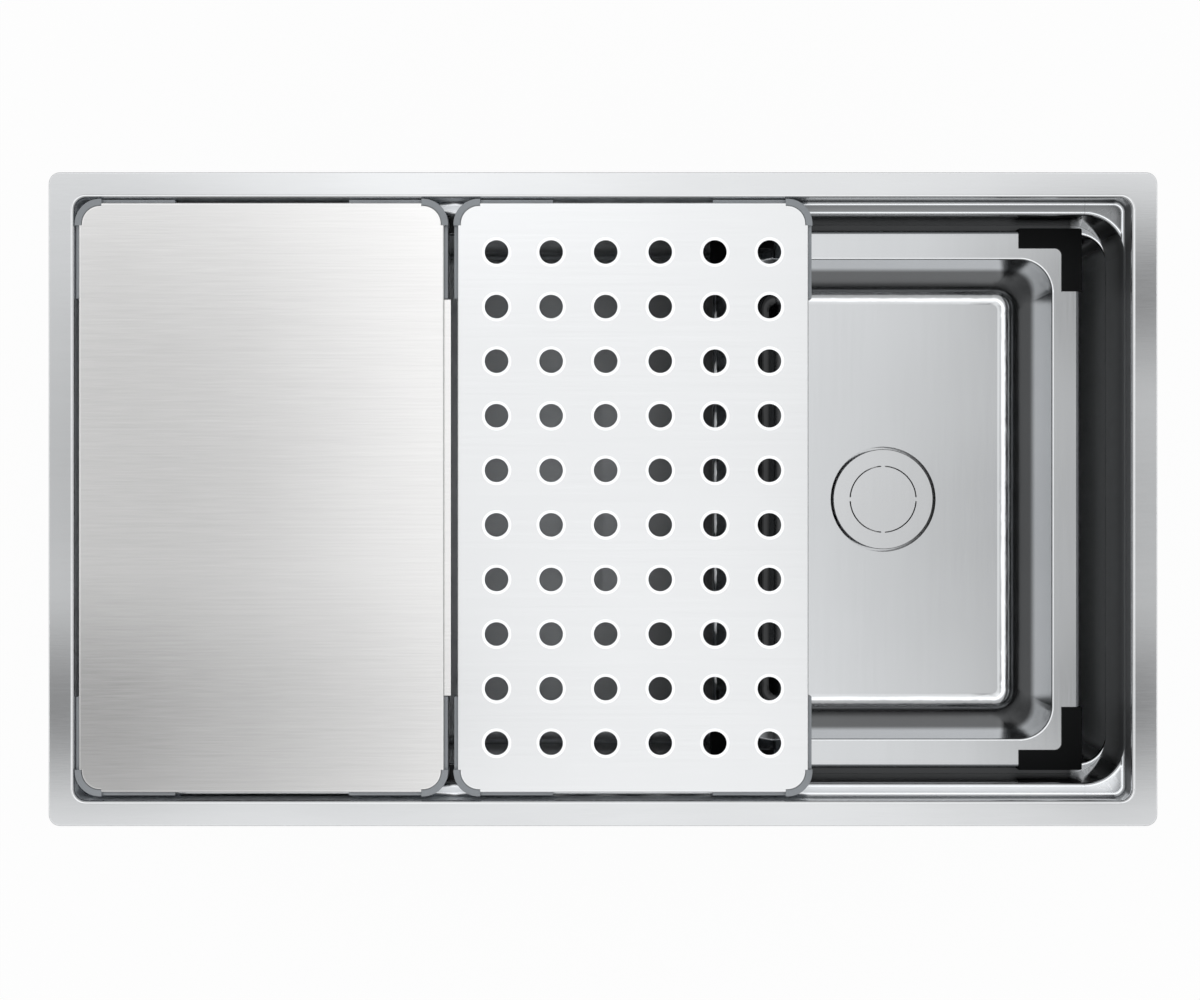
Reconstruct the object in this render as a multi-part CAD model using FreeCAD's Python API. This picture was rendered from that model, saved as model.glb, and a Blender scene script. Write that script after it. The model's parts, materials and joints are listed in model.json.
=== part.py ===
import FreeCAD, Part
import math
import os

# Workstation kitchen sink. Millimetres, +X to the right, +Y to the back, +Z up.
# The origin is the middle of the worktop cut-out, on the worktop's upper face,
# where the underside of the rim rests. The rim carries a two-step bowl: two
# boards lie on the upper step, and a pressed basin slides along the lower one.

# Rim and bowl
sink_length = 780.0
sink_width = 460.0
rim_width = 18.0
rim_thickness = 3.0
rim_corner_radius = 8.0
rim_outer_edge_radius = 0.8
rim_inner_edge_radius = 2.4
rim_rebate = 0.5                # how far the bowl's wall is let into the rim
opening_corner_radius = 8.0
bowl_sheet = 1.2
upper_step_drop = 20.0          # below the top of the rim
upper_step_width = 9.7          # front and back
upper_step_side_width = 0.5
upper_step_lip_radius = 3.0
upper_step_root_radius = 3.0
middle_corner_radius = 28.0
lip_backing = 20.0              # of the steel that shapes a lip, past either step
lower_step_drop = 75.0          # below the top of the rim
lower_step_width = 7.5
lower_step_side_width = 0.5
lower_step_lip_radius = 2.0
lower_corner_radius = 20.5
bowl_depth = 215.0              # below the top of the rim
floor_radius = 12.0
floor_margin = 3.0              # flat strip from the walls' foot to the fall
floor_fall = 6.0                # how far the floor falls to the drain

# Boards on the upper step
board_back_clearance = 0.6      # from a foot to the back wall
board_front_clearance = 2.8
solid_board_width = 257.1
perforated_board_width = 247.0
board_sheet = 1.5
board_edge_radius = 1.2
board_skirt = 7.0
board_corner_radius = 15.0
board_notch = 1.8               # how far each corner is let in for its foot
board_notch_run = 16.0
board_wall_clearance = 0.3      # from the solid board's feet to the left wall
board_gap = 9.4                 # between the two boards
board_lip = 4.4                 # ledge of the solid board that half closes the gap
board_lip_clearance = 0.5       # from its ends to the feet
board_hole_radius = 8.3
board_hole_pitch = 38.4
board_hole_margin = 25.0        # least distance from a hole's middle to the edge
board_hole_dish_width = 2.1
board_hole_dish_depth = 0.6
foot_arm = 70.0
foot_sole_width = 14.0
foot_bumper = 2.8               # how far the corner stands out from the board
foot_side = 2.4                 # how far an arm stands out from the board
foot_bumper_below_top = 0.4
foot_side_below_top = 3.4
foot_plug_width = 6.0
foot_plug_clearance = 0.15
foot_toe_radius = 3.4

# Basin on the lower step
basin_wall_gap = 21.7           # from its rim to the right wall
basin_end_clearance = 3.8       # from a pad to the front or back wall
basin_sheet = 1.0
basin_rim_half_x = 134.6
basin_rim_corner_radius = 3.5
basin_rim_edge_radius = 2.6
basin_lip = 8.0
basin_rim_drop = 65.0           # below the top of the rim
basin_rim_width_x = 20.1
basin_rim_width_y = 21.2
basin_mouth_corner_radius = 24.0
basin_mouth_edge_radius = 1.6
basin_floor_inset = 17.5
basin_floor_corner_radius = 14.0
basin_floor_edge_radius = 12.0
basin_depth = 72.0
pad_arm = 46.0
pad_width = 14.5
pad_wall = 1.3
pad_cap = 1.5
pad_inner_radius = 5.0
pad_outer_radius = 1.5

# Drain of the basin
basin_well_radius = 40.3
basin_well_depth = 16.0
basin_outlet_hole_radius = 26.0
basin_outlet_radius = 25.5
basin_outlet_wall = 1.5
basin_outlet_flange_radius = 35.0
basin_outlet_length = 34.0
basin_outlet_gasket = 1.0
basin_outlet_nut_radius = 33.0
basin_outlet_nut_height = 9.0
basin_cover_radius = 38.3
basin_cover_sheet = 1.5
basin_cover_edge = 0.4
basin_cover_slot_radius = 25.3
basin_cover_slot_width = 0.9
basin_cover_bridge = 3.0
basin_cover_bridges = 4
basin_cover_leg_radius = 2.5
basin_cover_leg_circle = 30.5
basin_basket_radius = 22.8
basin_basket_depth = 14.0
basin_stem_above_basket = 3.0
basin_seal_inset = 3.0
basin_seat_hole_circle = 11.5
basin_seat_hole_radius = 4.0

# Drain of the bowl
drain_to_wall = 156.0           # from its middle to the right wall
drain_centre_y = 0.0
drain_seat_radius = 58.0
drain_seat_depth = 2.5
drain_hole_radius = 45.0
drain_flange_radius = 56.8
drain_tube_radius = 43.8
drain_wall = 1.2
drain_depth = 58.0
drain_collar_radius = 24.0
drain_collar_wall = 3.0
drain_collar_length = 22.0
drain_seat_hole_circle = 13.0
drain_seat_hole_radius = 4.5
drain_gasket = 1.0
drain_rubber = 3.0
drain_friction_ring = 1.0
drain_nut_radius = 54.0
drain_nut_height = 12.0
drain_nut_lugs = 8
nut_lug_height = 3.0
nut_lug_width = 6.0
nut_lug_root = 1.0              # how far a lug is let into its nut
small_nut_lugs = 6
seat_hole_count = 6
thread_clearance = 0.2
basket_sheet = 0.8
main_basket_radius = 40.5
main_basket_depth = 46.0
basket_seal = 4.0
basket_hole_radius = 2.5
basket_hole_pitch = 8.0
basket_slot_width = 3.0
basket_slot_pitch = 10.5
basket_slot_margin = 4.0        # from a slot to the floor or the brim
basket_first_hole_ring = 2
seal_chamfer = 1.5
stem_radius = 3.0
stem_below_seat = 14.0
stem_clearance = 0.1
guide_clearance = 0.5
knob_radius = 9.0
knob_height = 5.0
knob_chamfer = 1.2
stem_chamfer = 1.0
main_stem_above_basket = -6.0   # the knob stays below the basket's brim
tail_radius = 19.05
tail_wall = 1.2
tail_length = 85.0
tail_flange = 1.5
tail_flange_inset = 0.5
tail_neck_radius = 20.2
tail_neck_length = 6.0
tail_washer = 2.0
tail_nut_radius = 29.0
tail_nut_height = 16.0
tail_nut_floor = 2.0

# Clamps under the worktop, and sound pads
worktop_thickness = 20.0
clamp_edge_margin = 0.5         # from the clamp shoe to the rim's outline
clamps_per_side = 2
clamps_per_front = 3
clamp_plate = 2.0
clamp_width = 22.0
clamp_leg = 22.0
clamp_screw_radius = 2.5
clamp_screw_length = 42.0
clamp_head_radius = 4.6
clamp_head_height = 3.5
clamp_slot_width = 1.2
clamp_slot_depth = 1.8
clamp_nut_radius = 4.6
clamp_nut_height = 4.0
clamp_shoe_radius = 6.5
clamp_shoe_height = 4.0
clamp_shoe_socket = 2.0
clamp_end_margin = 90.0         # from a corner of the sink to the first clamp
sound_pad = 3.0
sound_pad_margin = 32.0
sound_pad_top_margin = 16.0
sound_pad_drain_gap = 20.0

# Levels, half sizes and places worked out from the sizes above
rim_top = rim_thickness
upper_step_z = rim_top - upper_step_drop
lower_step_z = rim_top - lower_step_drop
floor_z = rim_top - bowl_depth
opening_half_x = sink_length / 2 - rim_width
opening_half_y = sink_width / 2 - rim_width
middle_half_x = opening_half_x - upper_step_side_width
middle_half_y = opening_half_y - upper_step_width
lower_half_x = middle_half_x - lower_step_side_width
lower_half_y = middle_half_y - lower_step_width
drain_floor_z = floor_z - floor_fall
drain_seat_z = drain_floor_z - drain_seat_depth
main_flange_z = drain_seat_z + drain_gasket
main_seat_z = main_flange_z - drain_depth + drain_wall
main_collar_z = main_flange_z - drain_depth - drain_collar_length
under_bowl_z = drain_seat_z - bowl_sheet
board_back = opening_half_y - board_back_clearance - foot_bumper
board_front = board_front_clearance + foot_bumper - opening_half_y
board_length = board_back - board_front
board_centre_y = (board_back + board_front) / 2
solid_board_centre_x = solid_board_width / 2 + foot_bumper + board_wall_clearance - opening_half_x
solid_board_right = solid_board_centre_x + solid_board_width / 2
perforated_board_centre_x = solid_board_right + board_gap + perforated_board_width / 2
board_hole_columns = int((perforated_board_width - 2 * board_hole_margin) / board_hole_pitch) + 1
board_hole_rows = int((board_length - 2 * board_hole_margin) / board_hole_pitch) + 1
basin_rim_half_y = middle_half_y - basin_end_clearance - pad_wall
basin_centre_x = middle_half_x - basin_wall_gap - basin_rim_half_x
basin_mouth_half_x = basin_rim_half_x - basin_rim_width_x
basin_mouth_half_y = basin_rim_half_y - basin_rim_width_y
drain_centre_x = lower_half_x - drain_to_wall
basin_rim_z = rim_top - basin_rim_drop
basin_lip_z = basin_rim_z - basin_lip
basin_floor_z = basin_rim_z - basin_depth
basin_well_z = basin_floor_z - basin_well_depth

parts_folder = "parts"
above = 20.0                    # cutting solids run this far past a face
touch = 1e-3                    # how close an edge lies to an outline


def save(name, shape):
    shape.exportStep(os.path.join(parts_folder, name + ".step"))


def outline(half_x, half_y, radius, z, centre_x=0.0, centre_y=0.0):
    """Closed wire of a rectangle with round corners."""
    arcs = []
    inner_x = half_x - radius
    inner_y = half_y - radius
    for quarter in range(4):
        sign_x = 1 if quarter in (0, 3) else -1
        sign_y = 1 if quarter in (0, 1) else -1
        middle = FreeCAD.Vector(centre_x + sign_x * inner_x, centre_y + sign_y * inner_y, z)
        points = []
        for step in range(3):
            angle = math.radians(90 * quarter + 45 * step)
            points.append(middle + FreeCAD.Vector(math.cos(angle), math.sin(angle), 0) * radius)
        arcs.append(points)
    edges = []
    for quarter in range(4):
        start, halfway, end = arcs[quarter]
        edges.append(Part.Arc(start, halfway, end).toShape())
        edges.append(Part.LineSegment(end, arcs[(quarter + 1) % 4][0]).toShape())
    return Part.Wire(edges)


def block(half_x, half_y, radius, z_low, z_high, centre_x=0.0, centre_y=0.0):
    """Upright solid over a rectangle with round corners."""
    wire = outline(half_x, half_y, radius, z_low, centre_x, centre_y)
    return Part.Face(wire).extrude(FreeCAD.Vector(0, 0, z_high - z_low))


def box(x_low, x_high, y_low, y_high, z_low, z_high):
    return Part.makeBox(x_high - x_low, y_high - y_low, z_high - z_low, FreeCAD.Vector(x_low, y_low, z_low))


def outline_distance(point, half_x, half_y, radius, centre_x, centre_y):
    over_x = abs(point.x - centre_x) - half_x + radius
    over_y = abs(point.y - centre_y) - half_y + radius
    outside = math.hypot(max(over_x, 0), max(over_y, 0))
    return outside + min(max(over_x, over_y), 0) - radius


def edges_on(shape, half_x, half_y, radius, z, centre_x=0.0, centre_y=0.0):
    """The edges of a shape that lie on a round-cornered outline at height z."""
    size = (half_x, half_y, radius, centre_x, centre_y)
    found = []
    for edge in shape.Edges:
        middle = edge.valueAt((edge.FirstParameter + edge.LastParameter) / 2)
        points = [vertex.Point for vertex in edge.Vertexes] + [middle]
        level = all(abs(point.z - z) < touch for point in points)
        if level and all(abs(outline_distance(point, *size)) < touch for point in points):
            found.append(edge)
    return found


def turned(profile, centre_x, centre_y=0.0):
    """Solid of revolution about an upright axis. The profile is a list of (radius, z)."""
    points = [FreeCAD.Vector(centre_x + radius, centre_y, z) for radius, z in profile]
    face = Part.Face(Part.makePolygon(points + points[:1]))
    return face.revolve(FreeCAD.Vector(centre_x, centre_y, 0), FreeCAD.Vector(0, 0, 1), 360)


def ring(inner, outer, z_low, z_high, centre_x, centre_y=0.0):
    return turned([(inner, z_low), (outer, z_low), (outer, z_high), (inner, z_high)], centre_x, centre_y)


def post(radius, z_low, z_high, x, y):
    return Part.makeCylinder(radius, z_high - z_low, FreeCAD.Vector(x, y, z_low))


def round_copies(shape, count, centre_x, centre_y, turn=0.0):
    """Copies of a shape spaced evenly about an upright axis."""
    axis = FreeCAD.Vector(centre_x, centre_y, 0)
    copies = []
    for number in range(count):
        copy = shape.copy()
        copy.rotate(axis, FreeCAD.Vector(0, 0, 1), turn + 360 * number / count)
        copies.append(copy)
    return copies


# ---- rim and bowl ----


def make_rim():
    half_x = sink_length / 2
    half_y = sink_width / 2
    rim = block(half_x, half_y, rim_corner_radius, 0, rim_top)
    rim = rim.cut(block(opening_half_x, opening_half_y, opening_corner_radius, -above, rim_top + above))
    wall = (opening_half_x + bowl_sheet, opening_half_y + bowl_sheet, opening_corner_radius + bowl_sheet)
    rim = rim.cut(block(*wall, -above, rim_rebate))
    rim = rim.makeFillet(rim_outer_edge_radius, edges_on(rim, half_x, half_y, rim_corner_radius, rim_top))
    inner = edges_on(rim, opening_half_x, opening_half_y, opening_corner_radius, rim_top)
    return rim.makeFillet(rim_inner_edge_radius, inner)


def floor_fall_solid(grow):
    """Shallow four-sided funnel from the flat margin of the floor to the drain."""
    margin = floor_radius + floor_margin
    left = -lower_half_x + margin
    right = lower_half_x - margin
    near = -lower_half_y + margin
    far = lower_half_y - margin
    top_z = floor_z - grow
    low_z = drain_floor_z - grow
    seat = drain_seat_radius + bowl_sheet
    top = [(left, near), (right, near), (right, far), (left, far)]
    low = [
        (drain_centre_x - seat, drain_centre_y - seat),
        (drain_centre_x + seat, drain_centre_y - seat),
        (drain_centre_x + seat, drain_centre_y + seat),
        (drain_centre_x - seat, drain_centre_y + seat),
    ]
    top_points = [FreeCAD.Vector(x, y, top_z) for x, y in top]
    low_points = [FreeCAD.Vector(x, y, low_z) for x, y in low]
    sides = [top_points, low_points]
    for side in range(4):
        after = (side + 1) % 4
        sides.append([top_points[side], top_points[after], low_points[after], low_points[side]])
    faces = [Part.Face(Part.makePolygon(points + points[:1])) for points in sides]
    return Part.Solid(Part.Shell(faces))


def lip_room(footprint, size, radius, z):
    """Room over the rounded lip of a step, from the step down to where its wall starts."""
    wide = tuple(value + lip_backing for value in size)
    steel = block(*wide, z - lip_backing, z).cut(block(*size, z - lip_backing, z))
    steel = steel.makeFillet(radius, edges_on(steel, *size, z))
    return block(*footprint, z - radius, z).cut(steel)


def bowl_space(grow, top_z):
    """The room inside the bowl. Grown by the sheet, it is the bowl's outer body."""
    upper_z = upper_step_z - grow
    lower_z = lower_step_z - grow
    upper_size = (opening_half_x + grow, opening_half_y + grow, opening_corner_radius + grow)
    middle_size = (middle_half_x + grow, middle_half_y + grow, middle_corner_radius + grow)
    lower_size = (lower_half_x + grow, lower_half_y + grow, lower_corner_radius + grow)
    root = upper_step_root_radius + grow
    upper = block(*upper_size, upper_z, top_z)
    upper = upper.makeFillet(root, edges_on(upper, *upper_size, upper_z))
    middle = block(*middle_size, lower_z, upper_z + root)
    lower = block(*lower_size, floor_z - grow, lower_z)
    lower = lower.makeFillet(floor_radius + grow, edges_on(lower, *lower_size, floor_z - grow))
    upper_lip = lip_room(upper_size, middle_size, upper_step_lip_radius - grow, upper_z)
    lower_lip = lip_room(middle_size, lower_size, lower_step_lip_radius - grow, lower_z)
    seat = post(drain_seat_radius + grow, drain_seat_z - grow, drain_floor_z, drain_centre_x, drain_centre_y)
    return upper.fuse([middle, lower, upper_lip, lower_lip, floor_fall_solid(grow), seat])


def make_bowl():
    """The bowl, welded from a floor, a drain seat, four walls and four corners."""
    bowl = bowl_space(bowl_sheet, rim_rebate).cut(bowl_space(0.0, above))
    hole = post(drain_hole_radius, drain_seat_z - above, drain_seat_z + above, drain_centre_x, drain_centre_y)
    bowl = bowl.cut(hole)
    weld_z = floor_z + floor_radius
    low = drain_seat_z - above
    reach = drain_seat_radius + bowl_sheet
    seat_x = (drain_centre_x - reach, drain_centre_x + reach)
    seat_y = (drain_centre_y - reach, drain_centre_y + reach)
    seat_zone = box(*seat_x, *seat_y, low, weld_z)
    foot_x = lower_half_x - floor_radius
    foot_y = lower_half_y - floor_radius
    floor_zone = box(-foot_x, foot_x, -foot_y, foot_y, low, weld_z)
    save("bowl_drain_seat", bowl.common(seat_zone))
    save("bowl_floor", bowl.common(floor_zone).cut(seat_zone))
    weld_x = middle_half_x - middle_corner_radius
    weld_y = middle_half_y - middle_corner_radius
    spans_x = {"left": (-sink_length, -weld_x), "": (-weld_x, weld_x), "right": (weld_x, sink_length)}
    spans_y = {"front": (-sink_width, -weld_y), "": (-weld_y, weld_y), "back": (weld_y, sink_width)}
    feet = {
        "front": box(-foot_x, foot_x, -sink_width, -foot_y, low, weld_z),
        "back": box(-foot_x, foot_x, foot_y, sink_width, low, weld_z),
        "left": box(-sink_length, -foot_x, -sink_width, sink_width, low, weld_z),
        "right": box(foot_x, sink_length, -sink_width, sink_width, low, weld_z),
    }
    for side_y, span_y in spans_y.items():
        for side_x, span_x in spans_x.items():
            zone = box(*span_x, *span_y, weld_z, rim_top)
            if side_x and side_y:
                save("bowl_corner_" + side_y + "_" + side_x, bowl.common(zone))
            elif side_x or side_y:
                side = side_x + side_y
                save("bowl_wall_" + side, bowl.common(zone.fuse(feet[side])).removeSplitter())


# ---- boards ----


def board_body(width, centre_x, inset, z_low, z_high, edge_radius=0.0):
    """A board's outline drawn in by an inset, with its four corners let in for the feet."""

    def layer(drawn_in):
        size = (width / 2 - drawn_in, board_length / 2 - drawn_in, board_corner_radius - drawn_in)
        body = block(*size, z_low, z_high, centre_x, board_centre_y)
        if edge_radius:
            body = body.makeFillet(edge_radius, edges_on(body, *size, z_high, centre_x, board_centre_y))
        return body

    run = board_notch_run + inset
    corners = []
    for side_x in (-1, 1):
        for side_y in (-1, 1):
            corner_x = centre_x + side_x * width / 2
            corner_y = board_centre_y + side_y * board_length / 2
            reach_x = sorted((corner_x + side_x * above, corner_x - side_x * run))
            reach_y = sorted((corner_y + side_y * above, corner_y - side_y * run))
            corners.append(box(*reach_x, *reach_y, z_low, z_high))
    corners = corners[0].fuse(corners[1:])
    return layer(inset).cut(corners).fuse(layer(inset + board_notch).common(corners))


def board_plate(width, centre_x):
    """Sheet with its edges folded down."""
    low = rim_top - board_skirt
    plate = board_body(width, centre_x, 0.0, low, rim_top, board_edge_radius)
    return plate.cut(board_body(width, centre_x, board_sheet, low - above, rim_top - board_sheet))


def make_solid_plate():
    plate = board_plate(solid_board_width, solid_board_centre_x)
    low = rim_top - board_skirt
    along = foot_arm - foot_bumper + board_lip_clearance
    across = (solid_board_right - board_sheet, solid_board_right + board_lip)
    lip = box(*across, board_front + along, board_back - along, low, low + board_sheet)
    return plate.fuse(lip).removeSplitter()


def make_perforated_plate():
    plate = board_plate(perforated_board_width, perforated_board_centre_x)
    first_x = perforated_board_centre_x - board_hole_pitch * (board_hole_columns - 1) / 2
    first_y = board_centre_y - board_hole_pitch * (board_hole_rows - 1) / 2
    low = rim_top - board_sheet
    tool = turned(
        [
            (0, low - above),
            (board_hole_radius, low - above),
            (board_hole_radius, rim_top - board_hole_dish_depth),
            (board_hole_radius + board_hole_dish_width, rim_top),
            (board_hole_radius + board_hole_dish_width, rim_top + above),
            (0, rim_top + above),
        ],
        0.0,
    )
    tools = []
    for column in range(board_hole_columns):
        for row in range(board_hole_rows):
            copy = tool.copy()
            copy.translate(
                FreeCAD.Vector(first_x + column * board_hole_pitch, first_y + row * board_hole_pitch, 0)
            )
            tools.append(copy)
    return plate.cut(tools)


def board_foot(width, centre_x, side_x, side_y):
    """L-shaped glide that wraps one corner of a board and slides on the upper step."""
    half_x = width / 2
    half_y = board_length / 2
    skirt_low = rim_top - board_skirt
    corner_x = centre_x + side_x * half_x
    corner_y = board_centre_y + side_y * half_y

    def arm_zone(length, depth, z_low, z_high, out):
        """Region of an L along both edges, measured from the board's corner."""
        along_x = sorted((corner_x + side_x * out, corner_x - side_x * length))
        across_x = sorted((corner_x + side_x * out, corner_x - side_x * depth))
        along_y = sorted((corner_y + side_y * out, corner_y - side_y * length))
        across_y = sorted((corner_y + side_y * out, corner_y - side_y * depth))
        return box(*along_x, *across_y, z_low, z_high).fuse(box(*across_x, *along_y, z_low, z_high))

    def body(out, z_low, z_high, toe=0.0):
        size = (half_x + out, half_y + out, board_corner_radius + out)
        shape = block(*size, z_low, z_high, centre_x, board_centre_y)
        if toe:
            shape = shape.makeFillet(toe, edges_on(shape, *size, z_low, centre_x, board_centre_y))
        return shape

    reach = foot_arm - foot_bumper
    side_top = rim_top - foot_side_below_top
    bumper_top = rim_top - foot_bumper_below_top
    sole_zone = arm_zone(reach, foot_sole_width, upper_step_z, skirt_low, above)
    side_zone = arm_zone(reach, foot_sole_width, skirt_low, side_top, above)
    bumper_zone = arm_zone(board_notch_run, board_notch_run, upper_step_z, bumper_top, above)
    sole = body(foot_side, upper_step_z, skirt_low, foot_toe_radius).common(sole_zone)
    side = body(foot_side, skirt_low, side_top).common(side_zone)
    bumper = body(foot_bumper, upper_step_z, bumper_top, foot_toe_radius).common(bumper_zone)
    foot = sole.fuse([side, bumper]).cut(board_body(width, centre_x, 0.0, skirt_low, rim_top))
    inner = board_sheet + foot_plug_clearance
    plug_top = rim_top - inner
    plug = board_body(width, centre_x, inner, skirt_low, plug_top)
    core = inner + foot_plug_width
    core_size = (half_x - core, half_y - core, board_corner_radius - foot_plug_width / 2)
    plug = plug.cut(block(*core_size, skirt_low, plug_top, centre_x, board_centre_y))
    plug = plug.common(arm_zone(reach, foot_sole_width, skirt_low, plug_top, 0.0))
    return foot.fuse(plug).removeSplitter()


# ---- basin ----


def basin_room(grow, top_z):
    """The room inside the basin. Grown by its sheet, it is the basin's outer body."""
    mouth = (basin_mouth_half_x + grow, basin_mouth_half_y + grow, basin_mouth_corner_radius + grow)
    floor = (
        basin_mouth_half_x - basin_floor_inset + grow,
        basin_mouth_half_y - basin_floor_inset + grow,
        basin_floor_corner_radius + grow,
    )
    low_z = basin_floor_z - grow
    tub = Part.makeLoft(
        [outline(*floor, low_z, basin_centre_x), outline(*mouth, basin_rim_z, basin_centre_x)], True, True
    )
    tub = tub.makeFillet(basin_floor_edge_radius + grow, edges_on(tub, *floor, low_z, basin_centre_x))
    well = post(basin_well_radius + grow, basin_well_z - grow, basin_floor_z, basin_centre_x, 0.0)
    room = tub.fuse(well)
    if top_z > basin_rim_z:
        room = room.fuse(block(*mouth, basin_rim_z, top_z, basin_centre_x))
    return room


def make_basin():
    rim = (basin_rim_half_x, basin_rim_half_y, basin_rim_corner_radius)
    slab = block(*rim, basin_lip_z, basin_rim_z, basin_centre_x)
    slab = slab.makeFillet(basin_rim_edge_radius, edges_on(slab, *rim, basin_rim_z, basin_centre_x))
    inner = tuple(size - basin_sheet for size in rim)
    hollow_z = basin_rim_z - basin_sheet
    hollow = block(*inner, basin_lip_z - above, hollow_z, basin_centre_x)
    hollow_edges = edges_on(hollow, *inner, hollow_z, basin_centre_x)
    slab = slab.cut(hollow.makeFillet(basin_rim_edge_radius - basin_sheet, hollow_edges))
    basin = slab.fuse(basin_room(basin_sheet, basin_rim_z)).cut(basin_room(0.0, basin_rim_z + above))
    mouth = (basin_mouth_half_x, basin_mouth_half_y, basin_mouth_corner_radius)
    basin = basin.makeFillet(
        basin_mouth_edge_radius, edges_on(basin, *mouth, basin_rim_z, basin_centre_x)
    )
    hole = post(basin_outlet_hole_radius, basin_well_z - above, basin_well_z + above, basin_centre_x, 0.0)
    return basin.cut(hole)


def basin_pad(side_x, side_y):
    """Corner pad that clips over the basin's rim and slides on the lower step."""
    out_x = basin_rim_half_x + pad_wall
    out_y = basin_rim_half_y + pad_wall
    top = basin_rim_z + pad_cap
    body = block(out_x, out_y, pad_outer_radius, lower_step_z, top, basin_centre_x)
    corner_x = basin_centre_x + side_x * out_x
    corner_y = side_y * out_y
    far_x = corner_x - side_x * pad_arm
    far_y = corner_y - side_y * pad_arm
    zone = box(*sorted((corner_x, far_x)), *sorted((corner_y, far_y)), lower_step_z, top)
    body = body.common(zone)
    inner_half_x = out_x - pad_width
    inner_half_y = out_y - pad_width
    low = lower_step_z - above
    inside = block(inner_half_x, inner_half_y, pad_inner_radius, low, top + above, basin_centre_x)
    rim = block(
        basin_rim_half_x, basin_rim_half_y, basin_rim_corner_radius, basin_lip_z, basin_rim_z, basin_centre_x
    )
    return body.cut(inside).cut(rim)


# ---- drains ----


def make_basket(name, radius, depth, top_z, centre_x, centre_y):
    """Slotted ring, and the perforated disc that closes its foot."""
    low_z = top_z - depth
    inner = radius - basket_sheet
    wall = ring(inner, radius, low_z, top_z, centre_x, centre_y)
    half = basket_slot_width / 2
    across = (centre_x + inner - basket_sheet, centre_x + radius + basket_sheet)
    along = (low_z + basket_slot_margin, top_z - basket_slot_margin)
    slot = box(*across, centre_y - half, centre_y + half, *along)
    slots = round_copies(slot, int(2 * math.pi * radius / basket_slot_pitch), centre_x, centre_y)
    floor = post(inner, low_z, low_z + basket_sheet, centre_x, centre_y)
    drill = [post(stem_radius + stem_clearance, low_z - above, low_z + above, centre_x, centre_y)]
    rings = int((inner - basket_hole_radius) / basket_hole_pitch)
    for number in range(basket_first_hole_ring, rings + 1):
        circle = number * basket_hole_pitch
        hole = post(basket_hole_radius, low_z - above, low_z + above, centre_x + circle, centre_y)
        drill += round_copies(hole, int(2 * math.pi * number), centre_x, centre_y)
    save(name + "_basket", wall.cut(slots))
    save(name + "_floor", floor.cut(drill))


def strainer_stem(seat_z, knob_top_z, centre_x, centre_y):
    """Knob, rod and guide pin in one."""
    return turned(
        [
            (0, seat_z - stem_below_seat),
            (stem_radius - stem_chamfer, seat_z - stem_below_seat),
            (stem_radius, seat_z - stem_below_seat + stem_chamfer),
            (stem_radius, knob_top_z - knob_height),
            (knob_radius - knob_chamfer, knob_top_z - knob_height),
            (knob_radius, knob_top_z - knob_height + knob_chamfer),
            (knob_radius, knob_top_z - knob_chamfer),
            (knob_radius - knob_chamfer, knob_top_z),
            (0, knob_top_z),
        ],
        centre_x,
        centre_y,
    )


def strainer_seal(radius, seat_z, centre_x, centre_y):
    hole = stem_radius + stem_clearance
    return turned(
        [
            (hole, seat_z),
            (radius - seal_chamfer, seat_z),
            (radius, seat_z + seal_chamfer),
            (radius, seat_z + basket_seal),
            (hole, seat_z + basket_seal),
        ],
        centre_x,
        centre_y,
    )


def seat_holes(circle, radius, seat_z, centre_x, centre_y):
    """Drain holes round the guide hole of a strainer seat."""
    low = seat_z - above
    high = seat_z + above
    hole = post(radius, low, high, centre_x + circle, centre_y)
    guide = post(stem_radius + guide_clearance, low, high, centre_x, centre_y)
    return round_copies(hole, seat_hole_count, centre_x, centre_y) + [guide]


def with_lugs(nut, outer, z_low, z_high, lugs, centre_x, centre_y):
    """Adds grip lugs round a nut."""
    half = nut_lug_width / 2
    root = centre_x + math.sqrt(outer**2 - half**2) - nut_lug_root
    lug = box(root, centre_x + outer + nut_lug_height, centre_y - half, centre_y + half, z_low, z_high)
    return nut.fuse(round_copies(lug, lugs, centre_x, centre_y)).removeSplitter()


def lugged_ring(inner, outer, z_low, z_high, lugs, centre_x, centre_y):
    nut = ring(inner, outer, z_low, z_high, centre_x, centre_y)
    return with_lugs(nut, outer, z_low, z_high, lugs, centre_x, centre_y)


def make_drain_body():
    inner = drain_tube_radius - drain_wall
    low_z = main_seat_z - drain_wall
    body = turned(
        [
            (0, low_z),
            (drain_collar_radius - drain_collar_wall, low_z),
            (drain_collar_radius - drain_collar_wall, main_collar_z),
            (drain_collar_radius, main_collar_z),
            (drain_collar_radius, low_z),
            (drain_tube_radius, low_z),
            (drain_tube_radius, main_flange_z),
            (drain_flange_radius, main_flange_z),
            (drain_flange_radius, main_flange_z + drain_wall),
            (inner, main_flange_z + drain_wall),
            (inner, main_seat_z),
            (0, main_seat_z),
        ],
        drain_centre_x,
        drain_centre_y,
    )
    where = (drain_centre_x, drain_centre_y)
    holes = seat_holes(drain_seat_hole_circle, drain_seat_hole_radius, main_seat_z, *where)
    return body.cut(holes)


def make_main_strainer():
    seal_radius = drain_collar_radius - drain_collar_wall
    bottom_z = main_seat_z + basket_seal
    top_z = bottom_z + main_basket_depth
    where = (drain_centre_x, drain_centre_y)
    make_basket("main_strainer", main_basket_radius, main_basket_depth, top_z, *where)
    save("main_strainer_stem", strainer_stem(main_seat_z, top_z + main_stem_above_basket, *where))
    save("main_strainer_seal", strainer_seal(seal_radius, main_seat_z, *where))


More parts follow.
